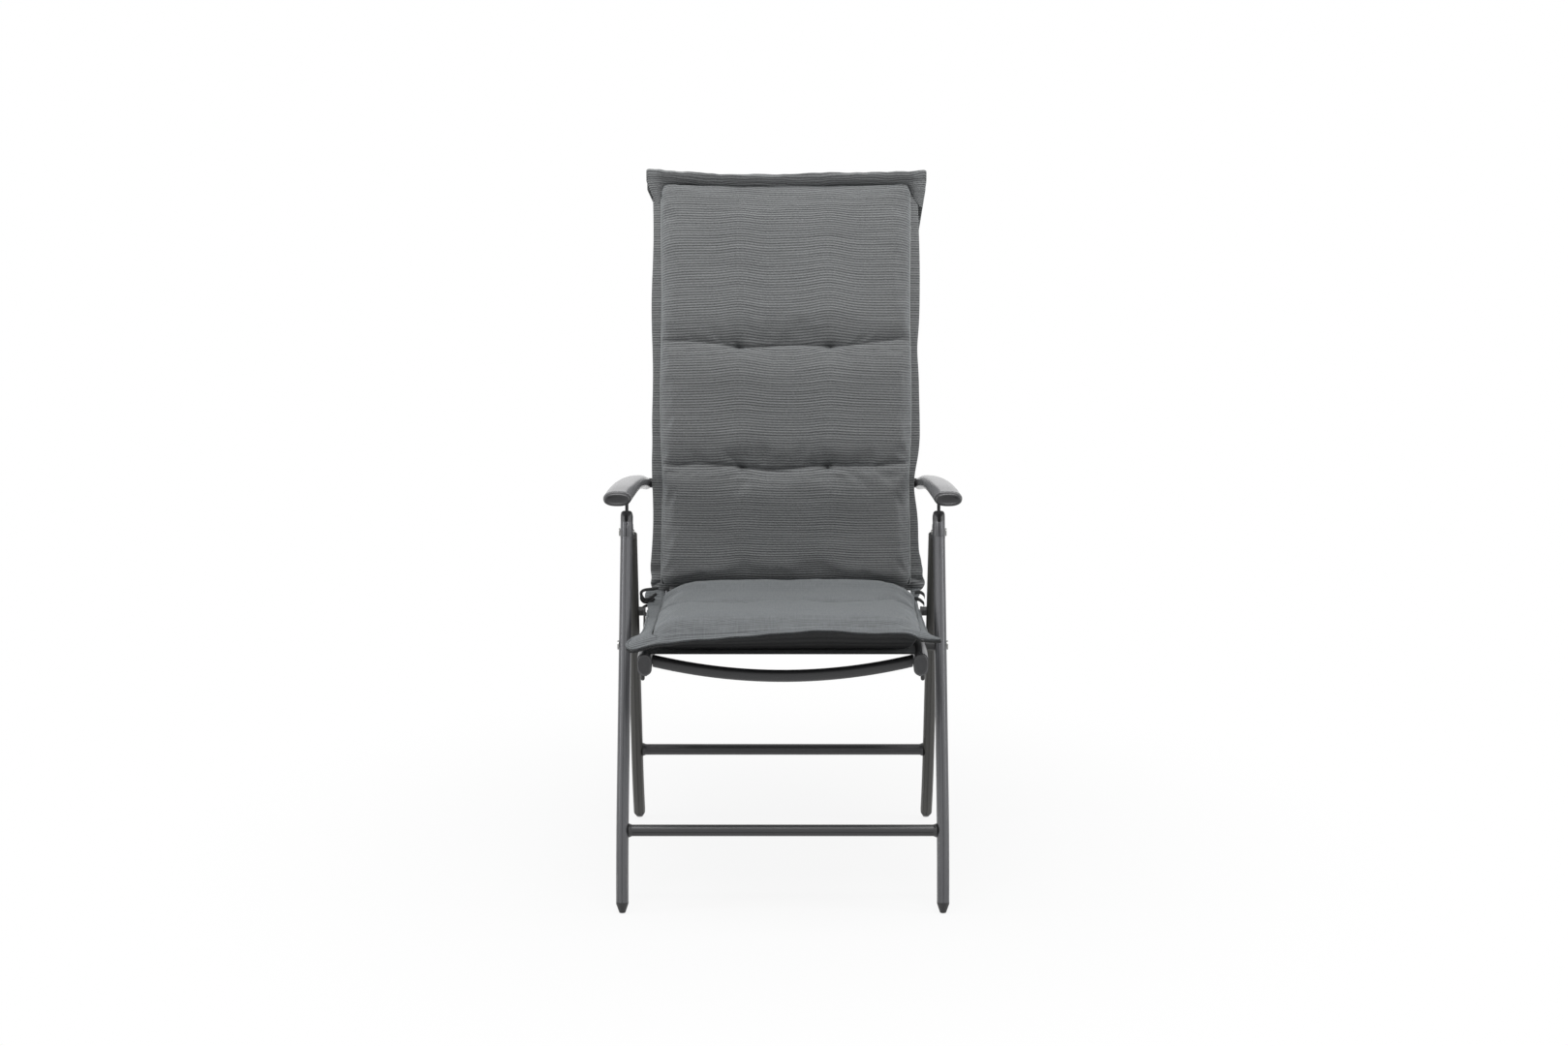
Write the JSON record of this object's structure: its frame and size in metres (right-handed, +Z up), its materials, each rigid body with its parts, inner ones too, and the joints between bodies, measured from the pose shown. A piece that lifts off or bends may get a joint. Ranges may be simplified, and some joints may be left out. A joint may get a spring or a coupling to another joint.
{
  "type": "folding chair",
  "caption": "Folding high-back armchair with a reclining padded back, A-frame legs, notched armrests and a sling seat under a tufted cushion.",
  "frame": {"origin": "on the floor under the middle of the chair's box", "axes": "+X across the chair to its right as seen from the front, -Y towards its front, +Z up"},
  "size_m": [0.559, 0.6711, 1.1051],
  "materials": {
    "frame_metal": "satin anthracite powder coat",
    "moulded_plastic": "matt black moulded plastic",
    "steel_parts": "dark passivated steel",
    "arm_plastic": "satin anthracite moulded plastic",
    "sling_fabric": "black coated mesh",
    "cushion_fabric": "charcoal woven fabric with fine stripes"
  },
  "bodies": {
    "front_frame": {"front_leg_left": "frame_metal", "front_leg_right": "frame_metal", "front_crossbar": "frame_metal", "front_feet": "moulded_plastic", "leg_cap_left": "moulded_plastic", "leg_cap_right": "moulded_plastic", "lock_tongue_left": "steel_parts", "lock_tongue_right": "steel_parts", "leg_hinge_pins": "steel_parts", "seat_pivot_bolts": "steel_parts", "seat_pivot_spacers": "moulded_plastic"},
    "rear_frame": {"rear_leg_left": "frame_metal", "rear_leg_right": "frame_metal", "rear_crossbar": "frame_metal", "rear_feet": "moulded_plastic", "rear_knuckles": "moulded_plastic", "link_pins": "steel_parts"},
    "seat": {"seat_rail_left": "frame_metal", "seat_rail_right": "frame_metal", "seat_arc_bar": "frame_metal", "seat_rear_bar": "frame_metal", "seat_rail_caps": "moulded_plastic", "link_brackets": "frame_metal", "seat_sling": "sling_fabric", "seat_cushion": "cushion_fabric"},
    "link_left": {"link_left": "steel_parts"},
    "link_right": {"link_right": "steel_parts"},
    "back_hinge": {"hinge_bushes": "moulded_plastic", "hinge_plates": "steel_parts"},
    "back": {"back_rail_left": "frame_metal", "back_rail_right": "frame_metal", "back_top_bow": "frame_metal", "back_lower_bar": "frame_metal", "back_rail_plugs": "moulded_plastic", "back_hinge_pins": "steel_parts", "back_sling": "sling_fabric", "back_cushion": "cushion_fabric", "cushion_hood": "cushion_fabric", "arm_studs": "steel_parts"},
    "arm_bush_left": {"arm_bush_left": "moulded_plastic"},
    "arm_bush_right": {"arm_bush_right": "moulded_plastic"},
    "armrest_left": {"armrest_left": "arm_plastic", "notch_rack_left": "moulded_plastic", "arm_nose_left": "arm_plastic"},
    "armrest_right": {"armrest_right": "arm_plastic", "notch_rack_right": "moulded_plastic", "arm_nose_right": "arm_plastic"}
  },
  "joints": [
    {"name": "fold", "type": "hinge", "parent": "front_frame", "child": "seat", "pos_m": [0, -0.12241, 0.391], "axis": [1, 0, 0], "range_deg": [0, 68]},
    {"name": "rear_leg_fold", "type": "hinge", "parent": "front_frame", "child": "rear_frame", "pos_m": [0, -0.0197, 0.5537], "axis": [1, 0, 0], "range_deg": [-46.3, 0]},
    {"name": "link_left_turn", "type": "hinge", "parent": "rear_frame", "child": "link_left", "pos_m": [0, 0.0424, 0.4056], "axis": [1, 0, 0], "range_deg": [0, 204]},
    {"name": "link_right_turn", "type": "hinge", "parent": "rear_frame", "child": "link_right", "pos_m": [0, 0.0424, 0.4056], "axis": [1, 0, 0], "range_deg": [0, 204]},
    {"name": "back_fold", "type": "hinge", "parent": "seat", "child": "back_hinge", "pos_m": [0, 0.13867, 0.36821], "axis": [1, 0, 0], "range_deg": [-78, 0]},
    {"name": "recline", "type": "hinge", "parent": "back_hinge", "child": "back", "pos_m": [0, 0.13867, 0.36821], "axis": [1, 0, 0], "range_deg": [-40, 0]},
    {"name": "arm_left_fold", "type": "hinge", "parent": "back", "child": "arm_bush_left", "pos_m": [0, 0.1667, 0.5965], "axis": [1, 0, 0], "range_deg": [-98, 0]},
    {"name": "arm_right_fold", "type": "hinge", "parent": "back", "child": "arm_bush_right", "pos_m": [0, 0.1667, 0.5965], "axis": [1, 0, 0], "range_deg": [-98, 0]},
    {"name": "arm_left_turn", "type": "hinge", "parent": "arm_bush_left", "child": "armrest_left", "pos_m": [0, 0.1667, 0.5965], "axis": [1, 0, 0], "range_deg": [0, 30]},
    {"name": "arm_right_turn", "type": "hinge", "parent": "arm_bush_right", "child": "armrest_right", "pos_m": [0, 0.1667, 0.5965], "axis": [1, 0, 0], "range_deg": [0, 30]}
  ],
  "couplings": [
    {"joint": "rear_leg_fold", "follows": "fold", "ratio": -0.68088},
    {"joint": "link_left_turn", "follows": "fold", "ratio": 3},
    {"joint": "link_right_turn", "follows": "fold", "ratio": 3},
    {"joint": "back_fold", "follows": "fold", "ratio": -1.1471},
    {"joint": "arm_left_fold", "follows": "fold", "ratio": -1.4412},
    {"joint": "arm_right_fold", "follows": "fold", "ratio": -1.4412},
    {"joint": "arm_left_turn", "follows": "recline", "ratio": -0.75},
    {"joint": "arm_right_turn", "follows": "recline", "ratio": -0.75}
  ]
}
